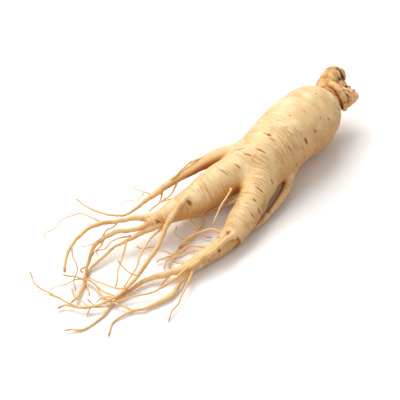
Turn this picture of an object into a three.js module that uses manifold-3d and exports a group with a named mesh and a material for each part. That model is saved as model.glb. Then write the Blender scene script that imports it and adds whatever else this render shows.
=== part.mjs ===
// A fresh ginseng root lying on its side: a stout trunk with a knobbly crown of old
// stem bases at one end, two legs and two arms at the other, and long fine roots
// that trail from the legs. Everything grew as one piece, so the part is one solid.
//
// Millimetres, +Z up. +X runs from the root tips to the crown, Z = 0 is the surface
// the root rests on, and the origin is the middle of the root's footprint.
// Every limb is a tapering round tube along a smooth route. A route is a short list
// of [x, y, z, radius] chosen along the limb, from its thick end to its tip.

import * as THREE from 'three';
import { mergeVertices } from 'three/addons/utils/BufferGeometryUtils.js';
import Module from 'manifold-3d';

// Driving dimensions.
const FOOTPRINT_CENTRE = [5.5, 4.3];
const REST_HEIGHT = 0;
const CLEAR_BELOW = 5;
const LENGTH_LIMIT = 400;

// Facets round a limb, and steps between two points of its route.
const TRUNK = { sides: 28, steps: 2 };
const LEG = { sides: 18, steps: 2 };
const ARM = { sides: 12, steps: 2 };
const ROOT = { sides: 8, steps: 2 };
const ROOTLET = { sides: 6, steps: 2 };

const BODY = [
  { kind: TRUNK, route: [[107, -16, 21, 3], [104, -16, 20.5, 7.8], [99, -15.6, 19.5, 13.9], [91, -14.8, 18.8, 17.7],
    [79, -14, 18.5, 19.1], [64, -13.3, 18.2, 18.5], [48, -13.4, 17.6, 17.7], [36, -14, 17.5, 15.6], [26, -14, 16, 8]] },
  { kind: LEG, route: [[44, -12, 18, 11.5], [30, -9, 17, 10.5], [18, -5.7, 15.6, 10.2], [6, -2.8, 14.3, 9.7],
    [-7, -0.8, 13.3, 8.3], [-19, 2.6, 13.2, 6.5], [-28, 6, 12.5, 4.2], [-34, 9, 12.5, 2.2]] },
  { kind: LEG, route: [[42, -17, 18, 10.2], [32, -21, 16.5, 9.6], [21, -24, 14, 8.6], [10, -27, 11, 7.9],
    [-2, -29, 8.5, 7.2], [-12, -30, 6.4, 6], [-22, -29, 5.2, 4.9], [-33, -26, 4.4, 4.3], [-42, -23, 3.6, 2.8]] },
  { kind: ARM, route: [[42, -4, 18, 5], [30, 6, 18, 4.3], [17, 11, 17.8, 3.7], [8, 13, 17.4, 3], [-1, 15, 17.2, 2.4],
    [-16, 17, 17, 1.8], [-28, 18, 16.3, 1.2], [-40, 20, 16, 0.8], [-48, 28, 17.7, 0.6], [-51, 38, 19.5, 0.5],
    [-51, 46, 21, 0.4]] },
  { kind: ARM, route: [[57, -24, 11, 3.5], [48, -28, 10, 2.7], [40, -32, 8, 2.5], [30, -34, 6.3, 2.2],
    [17, -35, 4.6, 1.5], [2, -34, 3, 0.8]] },
];

// The crown: a short bent neck and the two stem bases that stand on it.
const CROWN = [
  { kind: LEG, route: [[96, -15, 19, 9], [102, -16, 20.5, 8.2], [107, -16, 21, 7.4], [112, -16.5, 22.5, 6.4],
    [116, -17, 23, 4]] },
  { kind: LEG, route: [[106, -14, 21, 5], [110, -12, 24, 6], [114.5, -10.2, 26.8, 6.4], [118, -10.4, 28, 5.8],
    [120.4, -12.4, 28, 4.4]] },
  { kind: LEG, route: [[106, -19, 20, 5.6], [109, -21, 20, 6.2], [112, -23, 20.3, 6.2], [114.8, -25, 20.5, 5.3],
    [116.8, -26.4, 20.5, 3.4]] },
];

// The long roots that carry on from the ends of the legs.
const LONG_ROOTS = [
  [[-28, 6, 12.5, 3], [-38, 16, 14, 1.6], [-46, 21, 15, 1.3], [-54, 26, 16.5, 1.2], [-63, 28, 18, 1.1],
    [-72, 27, 18, 0.9], [-79, 26, 16, 0.8], [-85, 23, 14, 0.75], [-89, 20, 12.5, 0.6]],
  [[-27, 5, 12, 2.6], [-38, 10, 11, 1.5], [-50, 19, 11, 1.3], [-57, 22, 10, 1.3], [-64, 23, 7.5, 1.1],
    [-72, 20, 3.5, 0.9], [-82, 14, 1.2, 0.8], [-90, 10, 2.5, 0.8], [-97, 9, 3.5, 0.5]],
  [[-27, 4, 11.5, 2.4], [-38, 8, 9.5, 1.7], [-46, 11, 8, 1.2], [-55, 16, 6, 0.9], [-66, 17, 3.5, 0.7],
    [-77, 16, 1.2, 0.5]],
  [[-9, 0, 15, 2.4], [-14, -1, 20, 1.8], [-24, -2, 19.5, 1.7], [-35, -4, 16.5, 1.5], [-46, -7, 12.5, 1.2],
    [-60, -8, 8, 1.05], [-74, -8, 4.5, 0.9], [-87, -4, 3.8, 0.7], [-98, 5, 5, 0.6], [-102, 17, 9, 0.5],
    [-104, 26, 12, 0.45], [-101, 33, 15, 0.45]],
  [[-38, -24, 4, 3.2], [-48, -20, 4, 2.1], [-59, -12, 3, 1.4], [-70, -9, 2.2, 1.2], [-83, -7, 1.5, 0.9],
    [-95, -8, 0.9, 0.6], [-104, -6, 0.7, 0.6], [-112, 0, 2.6, 0.4]],
  [[-39, -24, 3.8, 2], [-47, -26.5, 3, 1.3], [-58, -28, 2.2, 1.3], [-69, -25, 1.6, 1.1], [-80, -18, 1.3, 0.8],
    [-92, -15, 0.8, 0.5], [-100, -19, 1, 0.4]],
  [[-40, -25, 4.5, 1.4], [-53, -32, 4.5, 0.65], [-62, -35, 3.2, 0.5], [-74, -37, 0.8, 0.4]],
  [[-11, -31, 8, 2.4], [-20, -32, 11, 1.4], [-35, -29, 9, 1.3], [-46, -25, 6.5, 1], [-58, -22, 4.5, 0.7],
    [-70, -16, 3.2, 0.6], [-82, -8, 2.4, 0.5], [-92, -1, 2.6, 0.5], [-103, 13, 1.8, 0.6]],
];

// Side shoots of the long roots. Each begins inside the limb that bears it.
const ROOTLETS = [
  [[-54, 26, 16.5, 0.6], [-55, 36, 18.3, 0.45], [-61, 41, 18.5, 0.4], [-70, 44, 16, 0.4], [-79, 44, 13, 0.4]],
  [[-74, 26.5, 17.5, 0.5], [-79, 23, 14, 0.4], [-82, 18, 8, 0.4], [-89, 13, 3, 0.4]],
  [[-56, 22, 10.3, 0.5], [-61, 20, 8.5, 0.45], [-68, 21, 5, 0.4]],
  [[-45, 11, 8.2, 0.6], [-56, 8, 7.5, 0.5], [-67, 3, 5.5, 0.4], [-75, -2, 3, 0.4]],
  [[-27, 4, 11.5, 1.2], [-38, 3, 8.5, 0.65], [-52, 0, 7, 0.5], [-63, -4, 5, 0.5], [-74, -6, 3.5, 0.4]],
  [[14, -19, 12, 1.6], [3, -8, 4, 1], [-7, -7, 3, 0.8], [-18, -11, 2.2, 0.6], [-38, -11, 2.6, 0.6],
    [-47, -15, 1, 0.4]],
  [[-13, -27, 8, 1], [-19, -16, 8.5, 0.6], [-32, -10, 3.5, 0.5], [-39, -11, 2.4, 0.4]],
  [[9, -9, 15, 1], [8, -14.5, 19.5, 0.6], [0, -19, 23, 0.6], [-9, -20.5, 21, 0.5], [-19, -23, 16, 0.4]],
  [[20, 10.5, 20, 1.2], [9, 14, 22, 0.6], [-3, 15.5, 20.3, 0.5], [-10, 16.5, 18, 0.5]],
  [[-1, 15, 18, 0.9], [-11, 12, 13.5, 0.5], [-20, 13, 12, 0.4], [-27, 16, 11, 0.4]],
  [[-73, -8.2, 4.6, 0.8], [-79, -5, 3.2, 0.5], [-80, 5, 2.6, 0.5], [-80, 13, 2.6, 0.45], [-86, 25, 5, 0.4]],
  [[-79, -18.6, 1.4, 0.8], [-81, -12, 2.2, 0.5], [-84, -1, 2, 0.4]],
];

const wasm = await Module();
wasm.setup();

// A closed tube along a route, swept from a cylinder: its rings become the route's
// sections, and its two end discs close the tube.
function limb({ kind, route }) {
  const path = new THREE.CatmullRomCurve3(route.map(([x, y, z]) => new THREE.Vector3(x, y, z)));
  const girth = new THREE.SplineCurve(route.map(([, , , radius], i) => new THREE.Vector2(i, radius)));
  const rings = (route.length - 1) * kind.steps;
  const frames = path.computeFrenetFrames(rings);
  const tube = new THREE.CylinderGeometry(1, 1, 1, kind.sides, rings);
  const { position } = tube.attributes;
  const point = new THREE.Vector3();
  for (let i = 0; i < position.count; i += 1) {
    const ring = Math.round((0.5 - position.getY(i)) * rings);
    const along = path.getUtoTmapping(ring / rings);
    const radius = girth.getPoint(along).y;
    path.getPoint(along, point);
    point.addScaledVector(frames.normals[ring], position.getX(i) * radius);
    point.addScaledVector(frames.binormals[ring], position.getZ(i) * radius);
    position.setXYZ(i, point.x, point.y, point.z);
  }
  return tube;
}

// The solid that a closed geometry bounds.
function solid(geometry) {
  geometry.deleteAttribute('normal');
  geometry.deleteAttribute('uv');
  const merged = mergeVertices(geometry);
  return new wasm.Manifold(new wasm.Mesh({
    numProp: 3,
    vertProperties: new Float32Array(merged.attributes.position.array),
    triVerts: new Uint32Array(merged.index.array),
  }));
}

// The geometry of a solid's surface, with flat facets.
function surface(manifold) {
  const { vertProperties, triVerts } = manifold.getMesh();
  const geometry = new THREE.BufferGeometry();
  geometry.setAttribute('position', new THREE.BufferAttribute(vertProperties, 3));
  geometry.setIndex(new THREE.BufferAttribute(triVerts, 1));
  geometry.computeVertexNormals();
  return geometry;
}

// The slab of space below the resting surface, which presses the underside flat.
function spaceBelow() {
  const slab = new THREE.BoxGeometry(LENGTH_LIMIT, LENGTH_LIMIT, CLEAR_BELOW);
  slab.translate(0, 0, REST_HEIGHT - CLEAR_BELOW / 2);
  return solid(slab);
}

function rootSolid() {
  const limbs = [
    ...BODY,
    ...CROWN,
    ...LONG_ROOTS.map((route) => ({ kind: ROOT, route })),
    ...ROOTLETS.map((route) => ({ kind: ROOTLET, route })),
  ];
  const grown = limbs.map((one) => solid(limb(one))).reduce((whole, one) => whole.add(one));
  return grown.subtract(spaceBelow());
}

const flesh = new THREE.MeshStandardMaterial({ color: '#e6c596', roughness: 0.6, metalness: 0 });
const root = new THREE.Mesh(surface(rootSolid()), flesh);
root.name = 'ginseng_root';
root.position.set(-FOOTPRINT_CENTRE[0], -FOOTPRINT_CENTRE[1], 0);

const group = new THREE.Group();
group.add(root);

export default group;
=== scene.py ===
"""Ginseng root: the looks of one fresh root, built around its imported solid.

Every limb is a route of [x, y, z, radius] points in millimetres, in the frame in
which the root was drawn; FOOTPRINT moves it so that the origin is the middle of the
footprint. The trunk, legs and arms share one skin, a smooth union of round limbs.
"""

import math

import bpy
import numpy as np
from bpy.props import (FloatProperty, FloatVectorProperty, IntProperty, PointerProperty)
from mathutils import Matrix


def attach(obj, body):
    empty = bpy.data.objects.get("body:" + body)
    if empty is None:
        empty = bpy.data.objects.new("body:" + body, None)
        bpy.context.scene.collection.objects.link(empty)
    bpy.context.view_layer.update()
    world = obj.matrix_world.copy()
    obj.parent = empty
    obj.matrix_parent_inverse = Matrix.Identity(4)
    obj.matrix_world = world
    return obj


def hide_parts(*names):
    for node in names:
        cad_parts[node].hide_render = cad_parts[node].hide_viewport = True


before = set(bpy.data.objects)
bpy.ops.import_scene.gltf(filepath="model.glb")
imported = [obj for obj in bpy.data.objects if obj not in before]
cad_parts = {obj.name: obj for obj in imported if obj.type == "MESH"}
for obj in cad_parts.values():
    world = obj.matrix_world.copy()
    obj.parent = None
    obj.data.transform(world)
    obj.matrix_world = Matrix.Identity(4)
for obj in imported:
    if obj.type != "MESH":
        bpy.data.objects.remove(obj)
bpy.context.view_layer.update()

bl_info = {
    "name": "Ginseng Root",
    "version": (1, 0, 0),
    "blender": (4, 5, 0),
    "location": "View3D > Sidebar > Ginseng",
    "description": "Builds a fresh ginseng root with its trunk, crown, legs and fringe of fine roots",
    "category": "Add Mesh",
}

BODY = "root"
NODE = "ginseng_root"
MM = 0.001
FOOTPRINT = np.array([5.5, 4.3, 0.0])

TRUNK = [[107, -16, 21, 3], [104, -16, 20.5, 7.8], [99, -15.6, 19.5, 13.9], [91, -14.8, 18.8, 17.7],
         [79, -14, 18.5, 19.1], [64, -13.3, 18.2, 18.5], [48, -13.4, 17.6, 17.7], [36, -14, 17.5, 15.6],
         [26, -14, 16, 8]]
UPPER_LEG = [[44, -12, 18, 11.5], [30, -9, 17, 10.5], [18, -5.7, 15.6, 10.2], [6, -2.8, 14.3, 9.7],
             [-7, -0.8, 13.3, 8.3], [-19, 2.6, 13.2, 6.5], [-28, 6, 12.5, 4.2], [-34, 9, 12.5, 2.2]]
LOWER_LEG = [[42, -17, 18, 10.2], [32, -21, 16.5, 9.6], [21, -24, 14, 8.6], [10, -27, 11, 7.9],
             [-2, -29, 8.5, 7.2], [-12, -30, 6.4, 6], [-22, -29, 5.2, 4.9], [-33, -26, 4.4, 4.3],
             [-42, -23, 3.6, 2.8]]
UPPER_ARM = [[42, -4, 18, 5], [30, 6, 18, 4.3], [17, 11, 17.8, 3.7], [8, 13, 17.4, 3], [-1, 15, 17.2, 2.4],
             [-16, 17, 17, 1.8]]
LOWER_ARM = [[57, -24, 11, 3.5], [48, -28, 10, 2.7], [40, -32, 8, 2.5], [30, -34, 6.3, 2.2],
             [17, -35, 4.6, 1.5]]
SHOULDER = [[-9, 0, 15, 3.4], [-14, -1, 18.5, 2.2]]

# Where along X the outer skin of the lower leg ends in a torn edge.
TORN_EDGE = -12.6
# Each scar of the skin: [x, y, z, half width round the limb, half width along it, depth].
SCARS = [
    [43, -15.3, 34.9, 1.5, 0.7, 0.5], [42.9, -12.6, 35, 1.4, 0.5, 0.25], [41.5, -18.5, 34, 2.6, 0.45, 0.2],
    [55.2, -12.8, 36.3, 0.6, 0.6, 0.2], [52.1, -10.2, 35.9, 0.6, 0.6, 0.2], [62.3, -16.1, 36.2, 0.8, 0.6, 0.15],
    [71, -20, 36, 1, 0.6, 0.12], [59.8, -29.2, 26, 2.3, 0.9, 0.4], [76.6, -27.4, 30.9, 1.3, 0.9, 0.15],
    [81.6, -29.9, 28.1, 1.4, 1, 0.15], [68.4, -29.1, 27.7, 1.5, 0.9, 0.2], [55.4, -30, 24.4, 0.9, 0.7, 0.2],
    [56.3, -31.2, 17.5, 1.3, 0.8, 0.25], [48.7, -30.9, 17.5, 1.2, 0.8, 0.25], [30.9, -4.4, 26.1, 4, 0.45, 0.3],
    [28.5, -11.7, 27.4, 3, 0.45, 0.25], [32.7, -17.4, 30.6, 3.6, 0.45, 0.25], [16.8, -28.6, 20.3, 3, 0.5, 0.4],
    [26.4, -30, 20, 2, 0.5, 0.3], [10, -29.9, 18.4, 1.6, 0.5, 0.3], [8.6, -34.2, 13.8, 2, 0.5, 0.35],
    [-13.3, -30.9, 12.4, 1.1, 0.8, 0.4], [-24, -32, 8.8, 1.2, 0.8, 0.4], [-31.2, -31.2, 5.8, 0.9, 0.8, 0.3],
    [0.7, -10, 15.2, 0.9, 0.8, 0.35], [-7.8, -7.5, 12.5, 0.8, 0.8, 0.35], [-14.4, -4, 19.4, 1.9, 1.2, 0.7],
    [20, -10, 25, 2.8, 0.45, 0.25], [12, -7, 24.4, 3.4, 0.45, 0.25], [3, -33, 14, 2.2, 0.45, 0.3],
    [-18, -26, 10, 1.8, 0.45, 0.3], [88, -4, 33, 1, 0.8, 0.12], [70, 2, 27, 2.4, 0.6, 0.25],
    [50, 4, 20, 2, 0.7, 0.25], [36, 0, 8, 1.6, 0.6, 0.25], [60, -16, 0.4, 3, 0.7, 0.2],
    [84, -30, 12, 2.2, 0.6, 0.25], [14, 4, 16, 1.4, 0.6, 0.3], [0, 7, 12, 1.4, 0.6, 0.3],
    [-31.6, 3.6, 12.6, 2.2, 1.2, 0.4], [-29.6, 1, 11.5, 1.6, 0.9, 0.35], [-42, -26.4, 4.2, 1.4, 0.9, 0.35],
]
# The same for the cracks of the crown.
CRACKS = [[119.6, -12.4, 31.6, 3, 0.5, 0.7], [119.6, -14.6, 29, 2.6, 0.5, 0.8], [109.6, -25.5, 25.2, 2.4, 0.5, 0.7],
          [112.5, -24.2, 25.4, 1.8, 0.5, 0.6], [103.8, -18, 27.6, 5, 0.4, 0.5], [113, -9, 32.6, 4, 0.35, 0.2],
          [110.4, -11, 30, 4, 0.35, 0.2]]

NECK = [[94, -15, 19, 9], [102, -16, 20.5, 8], [107, -16, 21, 7.2], [112, -16.5, 22, 6], [116.6, -17.8, 22.6, 3.8]]
UPPER_STEM = [[106, -13, 21, 5.4], [110, -11.5, 24, 6.2], [114.2, -10.2, 26.6, 6.3], [117, -10.3, 27.8, 5.6],
              [118.4, -11.4, 27.9, 4]]
STEM_RIM = [[116.4, -6.8, 31.4, 1.2], [118.9, -9.7, 32.1, 1.5], [121, -12.9, 30.6, 1.5], [121.8, -15, 27.4, 1.3],
            [120.6, -15.4, 24, 1.1]]
LOWER_STEM = [[106, -19, 20, 5.6], [109, -21, 20, 6], [112, -23, 20.3, 6], [114.7, -25, 20.5, 5],
              [116.2, -26.2, 20.5, 3.2]]
THROAT = [[110.5, -14.5, 22, 4.5], [114.5, -15.4, 24, 4], [117.6, -15.6, 24.4, 2.8]]
COLLAR = [[109.5, -4.2, 19, 1.2], [111.4, -4.9, 23.4, 2], [110.6, -8.2, 27, 2.2], [108.6, -14.2, 28.9, 2.2],
          [107.5, -18.9, 28.5, 2.2], [106.8, -23, 26, 2.2], [106.5, -25.4, 22, 2.1], [106.8, -26.2, 17.4, 1.9]]
INNER_COLLAR = [[107, -8.6, 24, 1], [105.6, -13.8, 26.4, 1.3], [104.4, -18.6, 26, 1.3], [103.4, -22.6, 23.4, 1.3],
                [102.6, -25, 19, 1.1]]
SCALES = [[[111, -17, 24.6, 2], [113.2, -16.6, 26.4, 1.5], [114, -16.6, 27.6, 0.9]],
          [[112.6, -20.5, 24, 2], [114.2, -20.2, 26, 1.3], [114.8, -20.4, 27.2, 0.6]],
          [[114, -23, 23.4, 1.7], [116, -22.4, 25, 1.2], [117, -22.4, 26.2, 0.6]],
          [[115, -25, 22, 1.6], [117, -25.2, 23.6, 1], [118, -25.4, 24.6, 0.6]],
          [[115.4, -26.4, 19.6, 1.6], [117.4, -27, 19.8, 1.2], [118.4, -27.4, 19.8, 0.7]],
          [[111.4, -19.8, 25, 1.2], [112.4, -22.6, 26, 1.2], [113.6, -25.4, 24.8, 1.1], [114.4, -27.6, 21.6, 0.9]],
          [[109.6, -26.4, 20.6, 1], [112, -27.4, 19.8, 1.3], [114, -27.8, 18.6, 1]]]

# Long roots that carry on from the ends of the legs and arms.
LONG_ROOTS = {
    "upper_whip": [[-12, 16.5, 17.3, 2], [-28, 18, 16.3, 1.2], [-40, 20, 16, 0.8], [-45, 24.5, 16.8, 0.65],
                   [-49, 31, 18.2, 0.55], [-51, 38, 19.5, 0.5], [-51, 46, 21, 0.35]],
    "lower_whip": [[20, -34.8, 4.9, 1.7], [11, -35, 4, 1.2], [2, -34, 3, 0.6]],
    "hook": [[-26, 5, 12.5, 4], [-32, 10.6, 13, 2.5], [-38, 16, 14, 1.6], [-46, 21, 15, 1.3], [-54, 26, 16.5, 1.2],
             [-63, 28, 18, 1.1], [-72, 27, 18, 0.95], [-79, 26, 16, 0.85], [-85, 23, 14, 0.8],
             [-89, 20, 12.5, 0.75]],
    "inner": [[-26, 5, 12, 3.2], [-38, 10, 11, 1.5], [-45, 14.5, 11, 1.35], [-50, 19, 11, 1.3],
              [-57, 22, 10, 1.3], [-64, 23, 7.5, 1.1], [-72, 20, 3.5, 0.9], [-78, 16.6, 1.3, 0.8],
              [-83, 13, 1.5, 0.85], [-90, 10, 2.5, 0.8], [-97, 9, 3.5, 0.45]],
    "under": [[-26, 4, 11.5, 2.8], [-31, 5, 10.6, 2.4], [-38, 8, 9.5, 1.6], [-46, 11, 8, 1.15],
              [-55, 15.5, 6, 0.85], [-66, 17, 3.5, 0.65], [-71, 18, 2, 0.55], [-77, 16, 1, 0.45]],
    "crosser": [[-9, 0, 15, 2.8], [-12, -1, 19, 2.2], [-15.5, -1, 20.3, 1.85], [-24, -2, 19.5, 1.7],
                [-32, -3, 17.5, 1.55], [-39, -5, 15, 1.3], [-46, -7, 12.5, 1.2], [-60, -8, 8, 1.05],
                [-74, -8, 4.5, 0.9], [-87, -4, 3.8, 0.7], [-94, 0, 4, 0.62], [-98, 5, 5, 0.58],
                [-102, 17, 9, 0.5], [-104, 26, 12, 0.42], [-101, 33, 15, 0.42]],
    "tail": [[-34, -26, 4.3, 4], [-41, -24, 4, 3], [-48, -20, 4, 2.1], [-54, -15.8, 3.5, 1.7], [-59, -12, 3, 1.4],
             [-64, -10, 2.6, 1.4], [-70, -9, 2.2, 1.15], [-77, -8, 1.8, 0.95], [-83, -7, 1.5, 0.88],
             [-89, -8, 1.2, 0.68], [-95, -8, 0.9, 0.55], [-102, -7, 0.7, 0.55], [-106, -5, 0.8, 0.6],
             [-109, -1.5, 1.6, 0.45], [-112, 0, 2.6, 0.35]],
    "side_tail": [[-36, -25.5, 4.2, 3.2], [-42, -25.6, 3.9, 2.1], [-47, -26.4, 3.4, 1.35], [-52, -27, 2.8, 1.2],
                  [-58, -28, 2.2, 1.3], [-64, -27, 1.8, 1.25], [-69, -25, 1.6, 1.1], [-76, -22, 1.5, 0.85],
                  [-80, -18.4, 1.3, 0.78], [-86, -16, 1, 0.58], [-92, -15, 0.8, 0.52], [-96, -17, 0.8, 0.45],
                  [-100, -19, 1, 0.4]],
    "short_tail": [[-38, -25, 4.8, 2], [-43, -28.4, 5.8, 0.95], [-47, -30, 5.8, 0.7], [-53, -32, 5, 0.62],
                   [-60, -34, 4, 0.52], [-63, -35, 3, 0.5], [-68, -35, 2.5, 0.46], [-71, -36, 1.5, 0.4],
                   [-74, -37, 0.8, 0.3]],
    "rider": [[-9, -31.5, 9, 3.2], [-14, -32.6, 11.6, 1.9], [-20, -32, 12.4, 1.4], [-28, -31, 11.2, 1.25],
              [-35, -29, 9.6, 1.15], [-41, -27, 8.2, 1.05], [-46, -25, 6.8, 0.95], [-52, -24, 5.5, 0.8],
              [-58, -22, 4.5, 0.7], [-65, -20, 3.6, 0.6], [-70, -16, 3.2, 0.52], [-74, -13, 3, 0.48],
              [-82, -8, 2.4, 0.45], [-87, -6, 2.4, 0.45], [-92, -1, 2.6, 0.5], [-96, 4, 2.2, 0.52],
              [-99, 11, 2, 0.6], [-103, 13, 1.8, 0.6]],
}

# Side shoots and hairs. Each begins inside the limb that bears it.
HAIR_ROOTS = [
    [[-53, 25.4, 16.5, 0.85], [-54, 32, 17.5, 0.42], [-56, 37.5, 18.5, 0.4], [-61, 41, 18.5, 0.37],
     [-66, 43.6, 17.5, 0.32], [-69, 43, 16.5, 0.32], [-73, 44, 15.5, 0.3], [-76, 46, 14.5, 0.27],
     [-79, 44, 13, 0.2]],
    [[-76, 26.4, 17.4, 0.6], [-79, 23, 14, 0.4], [-80, 20, 11, 0.36], [-82, 18, 8, 0.36], [-86, 17, 5, 0.35],
     [-89, 13, 3, 0.3]],
    [[-45, 21, 15, 0.7], [-48, 21, 13, 0.48], [-52, 23, 12, 0.42], [-55, 23, 11, 0.38], [-58, 22.4, 10, 0.3]],
    [[-56, 21.6, 10.2, 0.7], [-61, 20, 8.5, 0.42], [-64, 21, 7, 0.36], [-68, 21, 5, 0.3]],
    [[-45, 12.4, 8.4, 0.6], [-51, 16, 9, 0.42], [-55, 18, 8.5, 0.42], [-60, 18, 7, 0.36], [-63, 21, 6, 0.32],
     [-65, 19, 5, 0.25]],
    [[-73, 19.6, 3.2, 0.6], [-77, 20.4, 4, 0.42], [-77.6, 18.6, 2.5, 0.4]],
    [[-80, 14.6, 1.4, 0.6], [-83, 10, 2, 0.36], [-87, 5, 2.5, 0.35]],
    [[-46, 11.4, 8, 0.75], [-49, 12, 7.4, 0.58], [-56, 8, 7.5, 0.54], [-62, 5, 6.5, 0.5], [-67, 3, 5.5, 0.42],
     [-71, 0, 4, 0.42], [-75, -2, 3, 0.36]],
    [[-27, 3.6, 11, 1.6], [-31, 2.4, 9, 0.85], [-38, 3, 8.5, 0.64], [-44, 2, 8, 0.58], [-52, 0, 7, 0.52],
     [-58, -3, 6, 0.52], [-63, -4, 5, 0.48], [-69, -5, 4, 0.42], [-74, -6.5, 3.8, 0.42]],
    [[-63.5, -8.2, 6.6, 0.55], [-66, -5, 9, 0.42], [-66, 1, 11, 0.4], [-65, 4, 12, 0.36]],
    [[-38, -11, 2.7, 0.5], [-39, -7, 3.5, 0.38], [-41, -3, 4, 0.36], [-42, 0, 5, 0.36], [-47, 3, 6, 0.36],
     [-48, 6, 7, 0.4]],
    [[14, -19, 12, 1.8], [10, -14, 6.5, 1.2], [5, -9, 4, 1], [-1, -7, 3.5, 0.95], [-6, -7, 3, 0.85],
     [-11, -10, 2.5, 0.66], [-18, -11, 2.2, 0.6], [-24, -11, 2.2, 0.64], [-30, -11, 2.4, 0.64],
     [-38, -11, 2.6, 0.6], [-42, -13, 2, 0.42], [-46, -15, 1.2, 0.35]],
    [[-5, -7, 3.1, 0.7], [-12, -3, 5, 0.5], [-14, -7, 4, 0.48], [-15, -11, 3, 0.44], [-16, -16, 2, 0.42],
     [-14, -19, 1.5, 0.36]],
    [[-24, -11, 2.4, 0.6], [-26, -8, 3, 0.44], [-26, -3, 4, 0.38], [-24, -2, 5, 0.32], [-22, -1, 6, 0.25]],
    [[-13, -26, 8, 1.2], [-15, -20, 9.5, 0.62], [-19, -16, 8.5, 0.6], [-23, -13, 7, 0.58], [-28, -11, 5, 0.54],
     [-33, -10.6, 3, 0.45]],
    [[-23, -26, 6, 1.2], [-26, -18, 4, 0.6], [-28, -14, 3, 0.54], [-33, -13, 2.6, 0.58], [-38, -11, 2.6, 0.48],
     [-42, -9, 2.6, 0.42], [-45, -7, 2, 0.38], [-47, -7, 1.2, 0.3]],
    [[-26, -26, 5.4, 1], [-30, -18, 4, 0.42], [-34, -16, 3, 0.38], [-38, -13, 2, 0.32], [-40, -13, 1, 0.26]],
    [[-40, -11, 2.5, 0.5], [-44, -11, 2, 0.38], [-48, -13, 1.4, 0.3]],
    [[-37, -25, 5, 1], [-41, -19, 4, 0.44], [-42, -14, 3, 0.36]],
    [[9, -9, 15, 1], [8.6, -14, 18.6, 0.62], [5.6, -17.4, 22.4, 0.55], [0, -19, 23, 0.54], [-7, -20, 22, 0.52],
     [-11, -21, 20, 0.48], [-16, -22, 18, 0.42], [-19, -23, 16.5, 0.32]],
    [[22, 10, 19.6, 1.6], [16, 12, 21.3, 0.62], [9, 14, 22, 0.55], [4, 15, 21, 0.5], [-3, 15, 20, 0.46],
     [-8, 16, 18.5, 0.4]],
    [[-1, 15, 18, 1.2], [-6, 13, 15, 0.55], [-11, 12, 13.5, 0.5], [-16, 13, 12.5, 0.44], [-22, 14, 12, 0.4],
     [-26, 15, 11, 0.34]],
    [[-9, 2, 16, 1.2], [-12, 5, 17.6, 0.6], [-15, 8, 16, 0.44], [-19, 11, 15, 0.44], [-24, 13, 14, 0.38],
     [-29, 13, 13, 0.3]],
    [[-20, 17.2, 16.8, 0.9], [-21.4, 20, 18, 0.4], [-23, 24, 19, 0.3], [-25, 28, 20, 0.24]],
    [[-22, 21.5, 18.3, 0.4], [-26, 21.4, 17, 0.28], [-29, 22, 16.5, 0.25], [-31, 26, 16, 0.22],
     [-36, 28, 15, 0.18]],
    [[-13.6, 16, 17.2, 0.9], [-17, 14, 14.5, 0.42], [-21, 13, 13, 0.32]],
    [[-72, -8.4, 4.8, 0.8], [-78, -7, 3.4, 0.56], [-80, -2, 3, 0.52], [-80, 5, 2.6, 0.52], [-79, 12, 2.6, 0.48],
     [-81, 16, 3.2, 0.42], [-83, 20, 4, 0.42], [-85, 22, 4.5, 0.5], [-86, 25, 5, 0.35]],
    [[-73, -8, 5, 0.7], [-76, -3, 4.6, 0.48], [-77, 3, 4.2, 0.46], [-78, 8, 3.6, 0.42], [-78, 13, 3, 0.37],
     [-79, 16, 2.6, 0.32]],
    [[-80, 6, 2.7, 0.5], [-82, 2, 2.4, 0.42], [-83, -2, 2.6, 0.4], [-83, -6, 3, 0.4]],
    [[-72, -8.6, 4.4, 0.6], [-77, -7, 3.2, 0.5], [-81, -4, 3, 0.46], [-84, -1, 2.6, 0.36], [-88, 0, 2, 0.25]],
    [[-85, -4.6, 3.9, 0.5], [-89, -4, 4, 0.42], [-91, -1, 4, 0.4], [-91, 1, 4.5, 0.4], [-91, 3, 5.5, 0.34]],
    [[-93, 0, 3, 0.45], [-92, 6, 2, 0.3], [-92, 10, 1.5, 0.3], [-90, 14, 1.2, 0.26], [-88, 17, 1, 0.2]],
    [[-93, -0.6, 2.4, 0.35], [-95, -1, 1.4, 0.26], [-97, -2, 0.8, 0.2]],
    [[-101.6, 15, 8.4, 0.5], [-103, 20, 8, 0.25], [-104, 22, 7.5, 0.22], [-104, 25, 7.5, 0.2],
     [-105, 27, 7.5, 0.15]],
    [[-79, 15.4, 1.8, 0.5], [-84, 18, 3.5, 0.32], [-90, 19, 4.5, 0.3], [-94, 21, 5.5, 0.26],
     [-99, 22, 6, 0.2]],
    [[-80, -18.8, 1.4, 0.8], [-81, -14, 2, 0.56], [-82, -10, 2.4, 0.5], [-83, -6, 2.6, 0.42],
     [-84, -1, 2, 0.3]],
    [[-60, 22.8, 9, 0.6], [-64, 26, 8, 0.3], [-66, 27, 8, 0.24], [-68, 29, 8, 0.18]],
    [[-50, -19.4, 3.8, 0.9], [-55, -19, 2, 0.42], [-58, -19, 1, 0.3]],
]


# ---------------------------------------------------------------- numpy shapes

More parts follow.
